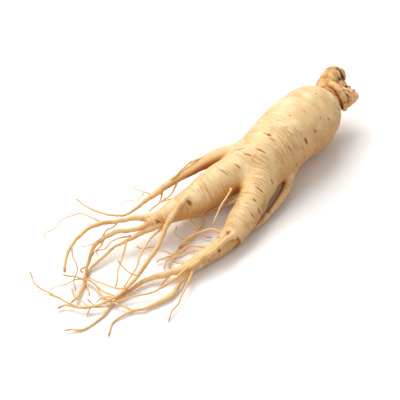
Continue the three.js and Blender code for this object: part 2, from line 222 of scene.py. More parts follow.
def flow(route, step):
    """A smooth route: Catmull-Rom cubics through the points, then evenly respaced.

    Between two points the slope at each is half of the way from the point before it
    to the point after it. Returns rows of x, y, z, radius and the distance along.
    """
    points = np.asarray(route, float)
    ends = np.vstack([2 * points[0] - points[1], points, 2 * points[-1] - points[-2]])
    t = np.linspace(0, 1, 24, endpoint=False)[:, None, None]
    a, b, c, d = ends[:-3], ends[1:-2], ends[2:-1], ends[3:]
    cubic = 0.5 * (2 * b + (c - a) * t + (2 * a - 5 * b + 4 * c - d) * t**2 + (3 * b - a - 3 * c + d) * t**3)
    dense = np.vstack([cubic.transpose(1, 0, 2).reshape(-1, 4), points[-1]])
    walked = np.concatenate([[0], np.cumsum(np.linalg.norm(np.diff(dense[:, :3], axis=0), axis=1))])
    count = max(int(math.ceil(walked[-1] / step)), 3)
    even = np.linspace(0, walked[-1], count + 1)
    return np.stack([np.interp(even, walked, dense[:, k]) for k in range(4)] + [even], axis=1)


def noise(places, size, seed):
    """Smooth value noise from -1 to 1: random numbers on a lattice, blended with smoothstep."""
    lattice = np.random.default_rng(seed).uniform(-1, 1, (32, 32, 32))
    scaled = np.asarray(places, float) / size + 11.3
    corner = np.floor(scaled).astype(int)
    blend = scaled - corner
    blend = blend * blend * (3 - 2 * blend)
    total = 0
    for dx in (0, 1):
        for dy in (0, 1):
            for dz in (0, 1):
                share = np.where([dx, dy, dz], blend, 1 - blend).prod(axis=-1)
                cell = (corner + [dx, dy, dz]) % 32
                total = total + share * lattice[cell[..., 0], cell[..., 1], cell[..., 2]]
    return total


def tangents(line):
    """Unit directions along the rows of a line, by central differences."""
    way = np.gradient(line[:, :3], axis=0)
    return way / np.linalg.norm(way, axis=1, keepdims=True)


def tube(line, sides, swell=None):
    """A closed tube: each row's circle lies across the line, its radius swollen per vertex.

    Vertex (i, j) = centre i + radius * (cos of angle j * side + sin of angle j * over), where
    side lies level across the line and over stands on both. The last circles shrink as a
    quarter round, and one vertex closes each end. Returns vertices, quads and triangles.
    """
    count = len(line)
    way = tangents(line)
    side = np.cross(way, [0.0, 0.0, 1.0])
    side /= np.linalg.norm(side, axis=1, keepdims=True)
    over = np.cross(side, way)
    angle = np.arange(sides) * 2 * math.pi / sides
    left = line[-1, 4] - line[:, 4]
    tip = np.clip(left / np.maximum(line[:, 3], 0.1), 0.05, 1)
    radius = line[:, 3] * np.sqrt(1 - (1 - tip) ** 2)
    spread = radius[:, None] * (1 if swell is None else swell)
    rings = (line[:, None, :3] + (spread * np.cos(angle))[..., None] * side[:, None]
             + (spread * np.sin(angle))[..., None] * over[:, None])
    vertices = np.vstack([rings.reshape(-1, 3), line[0, :3], line[-1, :3] + way[-1] * line[-1, 3] * 0.15])
    ring, turn = np.meshgrid(np.arange(count - 1), np.arange(sides), indexing="ij")
    after = (turn + 1) % sides
    quads = np.stack([ring * sides + turn, ring * sides + after, (ring + 1) * sides + after,
                      (ring + 1) * sides + turn], axis=-1).reshape(-1, 4)[:, ::-1]
    j = np.arange(sides)
    k = (j + 1) % sides
    first, last = count * sides, count * sides + 1
    base = (count - 1) * sides
    caps = np.vstack([np.stack([k, j, np.full(sides, first)], 1)[:, ::-1],
                      np.stack([base + j, base + k, np.full(sides, last)], 1)[:, ::-1]])
    return vertices, quads, caps


def join(parts):
    """Vertices and faces of several shapes, one after the other."""
    starts = np.cumsum([0] + [len(p[0]) for p in parts[:-1]])
    vertices = np.vstack([p[0] for p in parts])
    faces = [face for p, s in zip(parts, starts) for grid in p[1:] for face in (grid + s).tolist()]
    return vertices, faces


def nearest(places, line):
    """The closest point of a line to each place: its centre, radius, distance along and away."""
    here = places.astype(np.float32)
    centres = line[:, :3].astype(np.float32)
    chosen = np.empty(len(here), int)
    for start in range(0, len(here), 20000):
        part = here[start:start + 20000]
        gap = (centres**2).sum(1) - 2 * part @ centres.T
        chosen[start:start + 20000] = gap.argmin(1)
    way = tangents(line)[chosen]
    step = line[1, 4] - line[0, 4]
    shift = np.clip(((places - line[chosen, :3]) * way).sum(1), -step, step)
    along = np.clip(line[chosen, 4] + shift, 0, line[-1, 4])
    centre = np.stack([np.interp(along, line[:, 4], line[:, k]) for k in range(3)], axis=1)
    radius = np.interp(along, line[:, 4], line[:, 3])
    return centre, radius, along, np.linalg.norm(places - centre, axis=1)


def union(places, lines, softness, starts):
    """Smooth union of round limbs: minus softness times the log of the sum of exp(-gap / softness).

    The gap to a limb is the distance to its line less its radius. Returns the gap, the outward
    direction, and the blended distance from the crown and girth.
    """
    gaps, outs, runs, girths = [], [], [], []
    for line, start in zip(lines, starts):
        centre, radius, along, away = nearest(places, line)
        gaps.append(away - radius)
        outs.append((places - centre) / np.maximum(away, 1e-6)[:, None])
        runs.append(along + start)
        girths.append(radius)
    gaps = np.array(gaps)
    floor = gaps.min(0)
    weight = np.exp(-(gaps - floor) / softness)
    total = weight.sum(0)
    weight /= total
    gap = floor - softness * np.log(total)
    out = (weight[..., None] * np.array(outs)).sum(0)
    out /= np.maximum(np.linalg.norm(out, axis=1, keepdims=True), 1e-6)
    return gap, out, (weight * np.array(runs)).sum(0), (weight * np.array(girths)).sum(0)


# ---------------------------------------------------------------- meshes

def occlusion_shade(places, out, lines, reaches):
    """How much the limbs round each place hide it, from 0 to 1: an ambient occlusion that the finishes paint in as
    shade.

    Steps of several lengths are taken straight out of the skin. Where the skin of the nearest limb
    is then closer than the step is long, the share that is missing counts as occlusion.
    """
    total = np.zeros(len(places))
    for reach in reaches:
        ahead = places + out * reach
        gap = np.full(len(places), reach, float)
        for line in lines:
            gap = np.minimum(gap, nearest(ahead, line)[3] - nearest(ahead, line)[1])
        total += np.clip(1 - gap / reach, 0, 1)
    return total / len(reaches)


def new_piece(name, vertices, faces, values=None):
    """A mesh object at the origin, in metres, with one float attribute for each named value."""
    mesh = bpy.data.meshes.new(name)
    mesh.from_pydata(((vertices - FOOTPRINT) * MM).tolist(), [], faces)
    mesh.update()
    mesh.shade_smooth()
    piece = bpy.data.objects.new(name, mesh)
    add_values(piece, values or {})
    bpy.context.collection.objects.link(piece)
    return piece


def remeshed(name, vertices, faces, cell):
    """The outer skin of overlapping closed tubes, as even quads: vertices in millimetres and faces."""
    rough = new_piece(name + "_rough", vertices, faces)
    skin = rough.modifiers.new("skin", "REMESH")
    skin.mode = "VOXEL"
    skin.voxel_size = cell * MM
    solved = rough.evaluated_get(bpy.context.evaluated_depsgraph_get())
    mesh = bpy.data.meshes.new_from_object(solved)
    places = np.empty(len(mesh.vertices) * 3)
    mesh.vertices.foreach_get("co", places)
    faces = [list(p.vertices) for p in mesh.polygons]
    data = rough.data
    bpy.data.objects.remove(rough)
    bpy.data.meshes.remove(data)
    bpy.data.meshes.remove(mesh)
    return places.reshape(-1, 3) / MM + FOOTPRINT, faces


def ring_relief(places, along, girth, depth):
    """Growth rings: a row of random ridges along the limb, broken up round it by slow noise."""
    warped = along + 1.6 * noise(places, 11, 21) + 0.5 * noise(places, 4, 22)
    column = np.stack([warped, np.zeros_like(warped), np.zeros_like(warped)], axis=1)
    coarse = noise(column, 3.4, 23)
    fine = noise(column, 1.5, 24)
    broken = np.clip(0.45 + 0.9 * noise(places, 13, 25), 0, 1)
    return depth * np.clip(girth / 9, 0.25, 1.2) * (0.6 * coarse + 0.5 * fine) * broken


def press_flat(places, soft):
    """Nothing reaches below the resting surface: what would is pressed onto it."""
    low = places[:, 2] < soft
    places[low, 2] = soft * np.exp(np.minimum(places[low, 2] - soft, 0) / soft)
    return places


def finish_piece(piece, finish):
    """Gives a piece its material, hangs it on the body it rides with and hides the imported part it stands in for.
    """
    piece.data.materials.append(finish)
    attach(piece, BODY)
    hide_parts(NODE)
    return piece


def scar_marks(places, out, scars):
    """How scarred each place is, from 0 to 1, and how deep it is dented there, in millimetres.

    A scar is a bell in two directions: along the root, and round it, which is the rest of the offset.
    """
    way = np.array([1.0, 0.12, 0.05]) - out * (out @ [1.0, 0.12, 0.05])[:, None]
    way /= np.linalg.norm(way, axis=1, keepdims=True)
    scar = np.zeros(len(places))
    dent = np.zeros(len(places))
    ragged = 1 + 0.35 * noise(places, 1.4, 70)
    for x, y, z, across, width, depth in scars:
        offset = places - [x, y, z]
        near = (offset**2).sum(1)
        lengthwise = (offset * way).sum(1)
        bell = np.exp(-(lengthwise / width) ** 2 - np.maximum(near - lengthwise**2, 0) / across**2) * ragged
        scar = np.maximum(scar, np.clip(bell * min(0.4 + 1.6 * depth, 1), 0, 1))
        dent += depth * bell
    return scar, dent


def torn_step(places):
    """A step down where the outer skin of the lower leg is torn off: its depth, which fades past
    the edge, and how near the edge each place is, from 0 to 1.
    """
    past = TORN_EDGE + 0.9 * noise(places, 2.4, 71) - 0.25 * (places[:, 1] + 31) - places[:, 0]
    outer = np.clip((-27 - places[:, 1]) / 3, 0, 1)
    depth = 1.5 * np.clip(past / 0.7, 0, 1) * np.exp(-np.maximum(past, 0) / 14) * outer
    return depth, outer * np.exp(-((past - 0.3) / 0.55) ** 2)


def with_hollows(piece):
    """Adds how hollow the skin is at each vertex: the offset along its normal to the mean of its
    neighbours, in millimetres, evened out over a few rings of them. It is positive in furrows, which the finishes
    darken with painted shade.
    """
    mesh = piece.data
    count = len(mesh.vertices)
    places = np.empty(count * 3)
    mesh.vertices.foreach_get("co", places)
    places = places.reshape(-1, 3) / MM
    ends = np.empty(len(mesh.edges) * 2, int)
    mesh.edges.foreach_get("vertices", ends)
    one, two = ends.reshape(-1, 2).T
    normals = np.empty(count * 3)
    mesh.vertex_normals.foreach_get("vector", normals)
    normals = normals.reshape(-1, 3)
    degree = np.maximum(np.bincount(one, minlength=count) + np.bincount(two, minlength=count), 1)

    def around(values):
        """The mean of the neighbours' values."""
        return (np.bincount(one, values[two], count) + np.bincount(two, values[one], count)) / degree

    mean = np.stack([around(places[:, k]) for k in range(3)], axis=1)
    hollow = ((mean - places) * normals).sum(1)
    for _ in range(3):
        hollow = around(hollow)
    add_values(piece, {"hollow": hollow})
    return piece


def add_values(piece, values):
    """Adds named float attributes to a piece."""
    for key, value in values.items():
        layer = piece.data.attributes.new(key, "FLOAT", "POINT")
        layer.data.foreach_set("value", np.asarray(value, np.float32))


# ---------------------------------------------------------------- pieces

def body_lines(step):
    """The limbs of the trunk skin, and how far from the crown each one starts."""
    routes = [TRUNK, UPPER_LEG, LOWER_LEG, UPPER_ARM, LOWER_ARM, SHOULDER]
    starts = [0, 63, 65, 65, 50, 115]
    return [flow(route, step) for route in routes], starts


def build_body(settings):
    """The trunk, legs and arms as one skin, with lumps and growth rings worked into it.

    Even quads are slid along the outward direction until the smooth union's gap is zero,
    then moved out by the sum of slow lumps and ring relief.
    """
    lines, starts = body_lines(1.0)
    vertices, faces = join([tube(line, 40) for line in lines])
    places, faces = remeshed("body", vertices, faces, settings.skin_cell_mm)
    for _ in range(3):
        gap, out, along, girth = union(places, lines, settings.blend_mm, starts)
        places = places - gap[:, None] * out
    share = np.clip(girth / 9, 0.2, 1)
    lumps = share * (settings.lump_mm * noise(places, 17, 1) + 0.45 * settings.lump_mm * noise(places, 7, 2))
    rings = ring_relief(places, along, girth, settings.ring_mm)
    scar, dent = scar_marks(places, out, SCARS)
    step, edge = torn_step(places)
    scar = np.maximum(scar, 0.8 * edge)
    places = press_flat(places + (lumps + rings - dent - step)[:, None] * out, 0.5)
    # The occlusion value drives the painted shade in the skin's nooks.
    values = {"along": along, "girth": girth, "facing": out[:, 2], "scar": scar,
              "occlusion_shade": occlusion_shade(places, out, lines, (1.5, 3.5, 8))}
    return with_hollows(new_piece("root_body", places, faces, values))


def build_crown(settings):
    """The bent neck, its collars, the two old stem bases and their torn scales, as one rough skin."""
    routes = [NECK, UPPER_STEM, LOWER_STEM, COLLAR, INNER_COLLAR, STEM_RIM, THROAT, *SCALES]
    lines = [flow(route, 0.5) for route in routes]
    vertices, faces = join([tube(line, 24) for line in lines])
    places, faces = remeshed("crown", vertices, faces, settings.crown_cell_mm)
    for _ in range(3):
        gap, out, along, girth = union(places, lines, 0.28, [0] * len(lines))
        places = places - gap[:, None] * out
    rough = 0.16 * noise(places, 3.2, 5) + 0.12 * noise(places, 1.3, 6) + 0.15 * noise(places, 6, 7)
    rings = 0.22 * noise(np.stack([along * 1.0, 0.1 * places[:, 1], 0.1 * places[:, 2]], axis=1), 1.1, 8)
    scar, dent = scar_marks(places, out, CRACKS)
    places = places + (rough + rings - dent)[:, None] * out
    # The occlusion value drives the painted shade in the crown's nooks.
    values = {"along": along, "girth": girth, "facing": out[:, 2], "scar": scar,
              "occlusion_shade": occlusion_shade(places, out, lines, (0.7, 1.5, 3))}
    return with_hollows(new_piece("root_crown", places, faces, values))


def root_shape(route, number, step, sides):
    """One fine root: its route with small seeded kinks, and a girth that swells and pinches."""
    line = flow(route, step)
    fade = np.clip(line[:, 4] / 6, 0, 1)[:, None] * np.clip((line[-1, 4] - line[:, 4]) / 4, 0.15, 1)[:, None]
    column = np.stack([line[:, 4], np.full(len(line), number * 3.7), np.zeros(len(line))], axis=1)
    kinks = np.stack([noise(column, 3.2, 30 + k) + 0.5 * noise(column, 1.4, 40 + k) for k in range(3)], axis=1)
    line[:, :3] += kinks * fade * np.clip(line[:, 3:4] * 0.4, 0.12, 0.3)
    line[:, 3] *= 1 + 0.1 * noise(column, 2.4, 50) + 0.08 * noise(column, 0.9, 51)
    line[:, 2] = np.maximum(line[:, 2], line[:, 3] * 0.9)
    turn = np.arange(sides) * 2 * math.pi / sides
    grid = np.stack(np.broadcast_arrays(line[:, 4:5], 2 * np.cos(turn)[None], 2 * np.sin(turn)[None] + number),
                    axis=-1)
    swell = 1 + 0.08 * noise(grid, 1.6, 60) + 0.05 * noise(grid, 0.8, 61)
    return line, tube(line, sides, swell)


def build_roots(name, routes, step, sides):
    """A bundle of fine roots in one mesh, with their own attributes."""
    shapes = [root_shape(route, number, step, sides) for number, route in enumerate(routes)]
    vertices, faces = join([shape for _, shape in shapes])
    along = np.concatenate([np.append(np.repeat(line[:, 4], sides), [0, line[-1, 4]]) + 37 * n
                            for n, (line, _) in enumerate(shapes)])
    girth = np.concatenate([np.append(np.repeat(line[:, 3], sides), [line[0, 3], line[-1, 3]])
                            for line, _ in shapes])
    left = np.concatenate([np.append(np.repeat(line[-1, 4] - line[:, 4], sides), [line[-1, 4], 0])
                           for line, _ in shapes])
    values = {"along": along, "girth": girth, "left": left}
    return new_piece(name, vertices, faces, values)


# ---------------------------------------------------------------- finishes

def add_node(tree, kind, settings=None, **inputs):
    """A shader node with its settings, constant inputs and links; spaces in names are underscores."""
    made = tree.nodes.new(kind)
    for key, value in (settings or {}).items():
        setattr(made, key, value)
    for key, value in inputs.items():
        socket = made.inputs[int(key[1:])] if key[1:].isdigit() else made.inputs[key.replace("_", " ")]
        if isinstance(value, bpy.types.NodeSocket):
            tree.links.new(value, socket)
        else:
            socket.default_value = value
    return made


def maths(tree, operation, first, second=0.0, clamp=False):
    """The result of one sum."""
    return add_node(tree, "ShaderNodeMath", {"operation": operation, "use_clamp": clamp},
                    i0=first, i1=second).outputs[0]


def attribute(tree, name):
    """A float attribute of the mesh."""
    return add_node(tree, "ShaderNodeAttribute", {"attribute_name": name}).outputs["Fac"]


def ramp(tree, value, low, high):
    """0 below low, 1 above high, and a smooth rise between them."""
    return add_node(tree, "ShaderNodeMapRange", {"interpolation_type": "SMOOTHSTEP"},
                    Value=value, From_Min=low, From_Max=high).outputs["Result"]


def mixed(tree, share, first, second):
    """Two colours mixed."""
    made = add_node(tree, "ShaderNodeMix", {"data_type": "RGBA"}, Factor=share)
    for socket, value in zip((made.inputs[6], made.inputs[7]), (first, second)):
        if isinstance(value, bpy.types.NodeSocket):
            tree.links.new(value, socket)
        else:
            socket.default_value = (*value, 1.0)
    return made.outputs[2]


def new_group(name, sockets):
    """A shader node group with named float sockets; returns its tree, inputs node and outputs node."""
    tree = bpy.data.node_groups.new(name, "ShaderNodeTree")
    for label, side, default in sockets:
        socket = tree.interface.new_socket(label, in_out=side, socket_type="NodeSocketFloat")
        if side == "INPUT":
            socket.default_value = default
    return tree, tree.nodes.new("NodeGroupInput"), tree.nodes.new("NodeGroupOutput")


def rings_group():
    """Fine rings: noise squeezed along the limb and stretched round it."""
    tree, given, result = new_group("Growth Rings", [
        ("Spacing", "INPUT", 1.0), ("Broken", "INPUT", 0.5), ("Relief", "OUTPUT", 0), ("Lines", "OUTPUT", 0),
        ("Dashes", "OUTPUT", 0)])
    place = add_node(tree, "ShaderNodeTexCoord").outputs["Object"]
    parts = add_node(tree, "ShaderNodeSeparateXYZ", Vector=place)
    warp = add_node(tree, "ShaderNodeTexNoise", Vector=place, Scale=50.0, Detail=2.0).outputs[0]
    run = maths(tree, "ADD", attribute(tree, "along"), maths(tree, "MULTIPLY", warp, 3.4))
    run = maths(tree, "DIVIDE", run, given.outputs["Spacing"])
    side = maths(tree, "MULTIPLY", parts.outputs["Y"], 42.0)
    over = maths(tree, "MULTIPLY", parts.outputs["Z"], 42.0)
    turned = add_node(tree, "ShaderNodeCombineXYZ", X=run, Y=side, Z=over).outputs[0]
    fine = add_node(tree, "ShaderNodeTexNoise", Vector=turned, Scale=0.9, Detail=2.0).outputs[0]
    patch = add_node(tree, "ShaderNodeTexNoise", Vector=place, Scale=75.0, Detail=1.0).outputs[0]
    patch = ramp(tree, maths(tree, "SUBTRACT", patch, maths(tree, "MULTIPLY", given.outputs["Broken"], 0.2)),
                 0.3, 0.6)
    level = maths(tree, "ABSOLUTE", maths(tree, "SUBTRACT", fine, 0.53))
    lines = maths(tree, "MULTIPLY", maths(tree, "SUBTRACT", 1.0, ramp(tree, level, 0.0, 0.05)), patch)
    tree.links.new(maths(tree, "MULTIPLY", fine, patch), result.inputs["Relief"])
    tree.links.new(lines, result.inputs["Lines"])
    side = maths(tree, "MULTIPLY", parts.outputs["Y"], 180.0)
    over = maths(tree, "MULTIPLY", parts.outputs["Z"], 180.0)
    turned = add_node(tree, "ShaderNodeCombineXYZ", X=run, Y=side, Z=over).outputs[0]
    short = add_node(tree, "ShaderNodeTexNoise", Vector=turned, Scale=1.2).outputs[0]
    tree.links.new(maths(tree, "MULTIPLY", ramp(tree, short, 0.66, 0.72), patch), result.inputs["Dashes"])
    return tree


def freckles_group():
    """Scattered flecks: the near cells of a Voronoi pattern, kept where slow noise is high."""
    tree, given, result = new_group("Freckles", [
        ("Per Metre", "INPUT", 300.0), ("Amount", "INPUT", 0.5), ("Mask", "OUTPUT", 0)])
    place = add_node(tree, "ShaderNodeTexCoord").outputs["Object"]
    warp = add_node(tree, "ShaderNodeTexNoise", Vector=place, Scale=500.0).outputs["Color"]
    bent = add_node(tree, "ShaderNodeVectorMath", {"operation": "MULTIPLY_ADD"}, i0=warp,
                    i1=(0.0022, 0.0022, 0.0022), i2=place).outputs[0]
    cells = add_node(tree, "ShaderNodeTexVoronoi", Vector=bent, Scale=given.outputs["Per Metre"])
    dots = maths(tree, "SUBTRACT", 1.0, ramp(tree, cells.outputs["Distance"], 0.08, 0.34))
    kept = add_node(tree, "ShaderNodeSeparateXYZ", Vector=cells.outputs["Color"]).outputs["X"]
    kept = ramp(tree, maths(tree, "ADD", kept, given.outputs["Amount"]), 0.98, 1.1)
    tree.links.new(maths(tree, "MULTIPLY", dots, kept), result.inputs["Mask"])
    return tree


def place_group(tree, group, **inputs):
    """A copy of a node group in a material, with its own values."""
    made = tree.nodes.new("ShaderNodeGroup")
    made.node_tree = group
    for key, value in inputs.items():
        made.inputs[key.replace("_", " ")].default_value = value
    return made


def new_finish(name, roughness, gloss, glow):
    """A material with a Principled BSDF; returns it, its tree and the shader."""
    material = bpy.data.materials.new(name)
    material.use_nodes = True
    tree = material.node_tree
    shader = tree.nodes["Principled BSDF"]
    shader.inputs["Roughness"].default_value = roughness
    shader.inputs["Specular IOR Level"].default_value = gloss
    shader.inputs["Subsurface Weight"].default_value = glow
    shader.inputs["Sheen Weight"].default_value = 0.06
    shader.inputs["Sheen Roughness"].default_value = 0.45
    shader.inputs["Subsurface Radius"].default_value = (1.0, 0.5, 0.22)
    shader.inputs["Subsurface Scale"].default_value = 0.0022
    return material, tree, shader


def bumped(tree, shader, height, strength, distance):
    """Feeds a height to the shader's normal."""
    bump = add_node(tree, "ShaderNodeBump", Strength=strength, Distance=distance, Height=height)
    tree.links.new(bump.outputs["Normal"], shader.inputs["Normal"])


def skin_finish(settings, rings, freckles):
    """The pale ringed skin of the trunk and legs, with painted shade on its underside, in furrows and in nooks, and
    a painted highlight on its upper side.
    """
    material, tree, shader = new_finish("root_skin", 0.48, 0.4, 0.1)
    place = add_node(tree, "ShaderNodeTexCoord").outputs["Object"]
    facing = attribute(tree, "facing")
    slow = add_node(tree, "ShaderNodeTexNoise", Vector=place, Scale=60.0, Detail=4.0).outputs[0]
    # Slow random patches of cream and tan, shifted towards tan where the skin faces down: random tone and painted
    # shade.
    under = maths(tree, "SUBTRACT", slow, maths(tree, "MULTIPLY", facing, 0.26))
    colour = mixed(tree, ramp(tree, under, 0.26, 0.66), settings.cream, settings.tan)
    # Painted shade: skin that faces down is turned towards the under colour.
    below = maths(tree, "MULTIPLY", ramp(tree, maths(tree, "MULTIPLY", facing, -1.0), -0.85, 0.1), 0.8)
    colour = mixed(tree, below, colour, settings.under)
    # Pale mottling kept to skin that faces up: random tone and a painted highlight.
    pale_mottle_and_highlight = add_node(tree, "ShaderNodeTexNoise", Vector=place, Scale=130.0, Detail=3.0).outputs[0]
    pale_mottle_and_highlight = maths(tree, "MULTIPLY", ramp(tree, pale_mottle_and_highlight, 0.5, 0.66), ramp(tree, facing, -0.1, 0.7))
    colour = mixed(tree, maths(tree, "MULTIPLY", pale_mottle_and_highlight, 0.55), colour, settings.pale)
    thin = maths(tree, "SUBTRACT", 1.0, ramp(tree, attribute(tree, "girth"), 2.0, 8.0))
    colour = mixed(tree, maths(tree, "MULTIPLY", thin, 0.45), colour, settings.rootlet)
    fine = place_group(tree, rings, Spacing=1.7, Broken=0.2)
    colour = mixed(tree, maths(tree, "MULTIPLY", fine.outputs["Lines"], 0.75), colour, settings.bark)
    close = place_group(tree, rings, Spacing=0.8, Broken=0.0)
    colour = mixed(tree, maths(tree, "MULTIPLY", close.outputs["Lines"], 0.35), colour, settings.bark)
    dash = place_group(tree, rings, Spacing=2.6, Broken=0.6)
    colour = mixed(tree, maths(tree, "MULTIPLY", dash.outputs["Dashes"], 0.7), colour, settings.scar)
    small = place_group(tree, freckles, Per_Metre=330.0, Amount=0.4)
    low = ramp(tree, maths(tree, "MULTIPLY", facing, -1.0), -0.75, 0.5)
    share = maths(tree, "ADD", 0.16, maths(tree, "MULTIPLY", low, 0.84))
    colour = mixed(tree, maths(tree, "MULTIPLY", small.outputs["Mask"], share), colour, settings.scar)
    large = place_group(tree, freckles, Per_Metre=110.0, Amount=0.13)
    colour = mixed(tree, maths(tree, "MULTIPLY", large.outputs["Mask"], 0.6), colour, settings.scar)
    # Painted shade in the furrows of the skin, where the hollow value is high.
    furrow_shade = maths(tree, "MULTIPLY", ramp(tree, attribute(tree, "hollow"), 0.01, 0.06), 0.6)
    colour = mixed(tree, furrow_shade, colour, settings.scar)
    # Painted shade: skin hidden by neighbouring limbs, as in the crotch and where limbs meet, turns darker orange
    # and then brown.
    nook_shade = attribute(tree, "occlusion_shade")
    colour = mixed(tree, maths(tree, "MULTIPLY", ramp(tree, nook_shade, 0.08, 0.42), 0.85), colour, settings.under)
    colour = mixed(tree, maths(tree, "MULTIPLY", ramp(tree, nook_shade, 0.36, 0.66), 0.9), colour, settings.scar)
    scar = attribute(tree, "scar")
    colour = mixed(tree, maths(tree, "MULTIPLY", ramp(tree, scar, 0.1, 0.5), 0.9), colour, settings.scar)
    colour = mixed(tree, maths(tree, "MULTIPLY", ramp(tree, scar, 0.5, 0.9), 0.65), colour, settings.crack)
    tree.links.new(colour, shader.inputs["Base Color"])
    grain = add_node(tree, "ShaderNodeTexNoise", Vector=place, Scale=1500.0, Detail=2.0).outputs[0]
    height = maths(tree, "ADD", fine.outputs["Relief"], maths(tree, "MULTIPLY", grain, 0.22))
    height = maths(tree, "SUBTRACT", height, dash.outputs["Dashes"])
    bumped(tree, shader, height, 0.9, 0.001)
    return material


def crown_finish(settings, rings, freckles):
    """The rougher orange-brown skin of the crown, dark in its cracks, with painted shade in its hollows and
    sheltered nooks.
    """
    material, tree, shader = new_finish("crown_bark", 0.6, 0.35, 0.1)
    place = add_node(tree, "ShaderNodeTexCoord").outputs["Object"]
    slow = add_node(tree, "ShaderNodeTexNoise", Vector=place, Scale=190.0, Detail=4.0).outputs[0]
    colour = mixed(tree, ramp(tree, slow, 0.4, 0.68), settings.rootlet, settings.bark)
    ridge = ramp(tree, maths(tree, "MULTIPLY", attribute(tree, "hollow"), -1.0), 0.004, 0.03)
    colour = mixed(tree, maths(tree, "MULTIPLY", ridge, 0.7), colour, settings.cream)
    # Painted shade in the hollows of the crown.
    colour = mixed(tree, ramp(tree, attribute(tree, "hollow"), 0.006, 0.03), colour, settings.scar)
    # Painted shade: sheltered nooks of the crown darken to scar brown; the deepest nooks, joined with the listed
    # cracks, take the crack colour.
    nook_shade = attribute(tree, "occlusion_shade")
    colour = mixed(tree, ramp(tree, nook_shade, 0.1, 0.45), colour, settings.scar)
    nook_shade = maths(tree, "MAXIMUM", nook_shade, attribute(tree, "scar"))
    colour = mixed(tree, ramp(tree, nook_shade, 0.4, 0.75), colour, settings.crack)
    fine = place_group(tree, rings, Spacing=0.9, Broken=0.2)
    small = place_group(tree, freckles, Per_Metre=520.0, Amount=0.3)
    colour = mixed(tree, maths(tree, "MULTIPLY", small.outputs["Mask"], 0.4), colour, settings.crack)
    tree.links.new(colour, shader.inputs["Base Color"])
    grain = add_node(tree, "ShaderNodeTexNoise", Vector=place, Scale=1300.0, Detail=3.0).outputs[0]
    bumped(tree, shader, maths(tree, "ADD", fine.outputs["Relief"], grain), 0.6, 0.0007)
    return material


def rootlet_finish(settings, rings, freckles):
    """The warmer skin of the fine roots, browner towards the tips."""
    material, tree, shader = new_finish("rootlet_skin", 0.5, 0.4, 0.15)
    place = add_node(tree, "ShaderNodeTexCoord").outputs["Object"]
    slow = add_node(tree, "ShaderNodeTexNoise", Vector=place, Scale=170.0, Detail=3.0).outputs[0]
    stout = ramp(tree, attribute(tree, "girth"), 0.5, 2.4)
    colour = mixed(tree, stout, settings.rootlet, settings.cream)
    colour = mixed(tree, maths(tree, "MULTIPLY", ramp(tree, slow, 0.48, 0.66), 0.55), colour, settings.under)
    tip = maths(tree, "SUBTRACT", 1.0, ramp(tree, attribute(tree, "left"), 0.0, 5.0))
    colour = mixed(tree, maths(tree, "MULTIPLY", tip, 0.65), colour, settings.scar)
    small = place_group(tree, freckles, Per_Metre=420.0, Amount=0.3)
    colour = mixed(tree, maths(tree, "MULTIPLY", small.outputs["Mask"], 0.4), colour, settings.scar)
    tree.links.new(colour, shader.inputs["Base Color"])
    fine = place_group(tree, rings, Spacing=0.8, Broken=0.3)
    bumped(tree, shader, fine.outputs["Relief"], 0.5, 0.0004)
    return material


def finish_named(name, maker):
    """The finish of that name, made once with its shared node groups."""
    if name in bpy.data.materials:
        return bpy.data.materials[name]
    rings = bpy.data.node_groups.get("Growth Rings") or rings_group()
    freckles = bpy.data.node_groups.get("Freckles") or freckles_group()
    return maker(bpy.context.scene.ginseng_colours, rings, freckles)


# ---------------------------------------------------------------- stage

def floor_piece(settings):
    """A wide pale floor just under the root."""
    half = settings.floor_m / 2
    corners = [(-half, -half, 0), (half, -half, 0), (half, half, 0), (-half, half, 0)]
    mesh = bpy.data.meshes.new("floor")
    mesh.from_pydata(corners, [], [(0, 1, 2, 3)])
    floor = bpy.data.objects.new("floor", mesh)
    bpy.context.collection.objects.link(floor)
    material = bpy.data.materials.new("white_table")
    material.use_nodes = True
    shader = material.node_tree.nodes["Principled BSDF"]
    shader.inputs["Base Color"].default_value = (0.92, 0.92, 0.93, 1)
    shader.inputs["Roughness"].default_value = 0.3
    shader.inputs["Specular IOR Level"].default_value = 0.45
    mesh.materials.append(material)


def area_light(name, azimuth, elevation, distance, size, power, colour):
    """A square light on a sphere round the root, facing its middle."""
    data = bpy.data.lights.new(name, "AREA")
    data.size = size
    data.energy = power
    data.color = colour
    lamp = bpy.data.objects.new(name, data)
    flat = math.cos(elevation) * distance
    lamp.location = (math.cos(azimuth) * flat, math.sin(azimuth) * flat, math.sin(elevation) * distance)
    lamp.rotation_euler = (math.pi / 2 - elevation, 0, azimuth + math.pi / 2)
    bpy.context.collection.objects.link(lamp)


def light_studio(settings):
    """A soft key light behind the root, a weak fill from the side and an even warm surround."""
    world = bpy.data.worlds.new("studio")
    bpy.context.scene.world = world
    world.use_nodes = True
    back = world.node_tree.nodes["Background"]
    back.inputs["Color"].default_value = (*settings.surround, 1)
    back.inputs["Strength"].default_value = settings.surround_power
    area_light("key", math.radians(settings.key_azimuth), math.radians(settings.key_elevation), 0.9, 0.6,
               settings.key_power, (0.99, 1.0, 1.0))
    area_light("fill", math.radians(settings.fill_azimuth), math.radians(30), 0.9, 0.5, settings.fill_power,
               (1.0, 0.97, 0.93))


def place_camera(settings):
    """Looks down at the root from beside its tips, through a long lens."""
    turn = settings.camera_azimuth
    tilt = settings.camera_elevation
    back = np.array([math.sin(turn) * math.cos(tilt), -math.cos(turn) * math.cos(tilt), math.sin(tilt)])
    target = np.array([-FOOTPRINT[0], -FOOTPRINT[1], settings.aim_height_mm]) * MM
    data = bpy.data.cameras.new("view")
    data.lens = settings.lens_mm
    camera = bpy.data.objects.new("view", data)
    camera.location = target + back * settings.camera_distance
    camera.rotation_euler = (math.pi / 2 - tilt, 0, turn)
    bpy.context.collection.objects.link(camera)
    bpy.context.scene.camera = camera


# ---------------------------------------------------------------- add-on

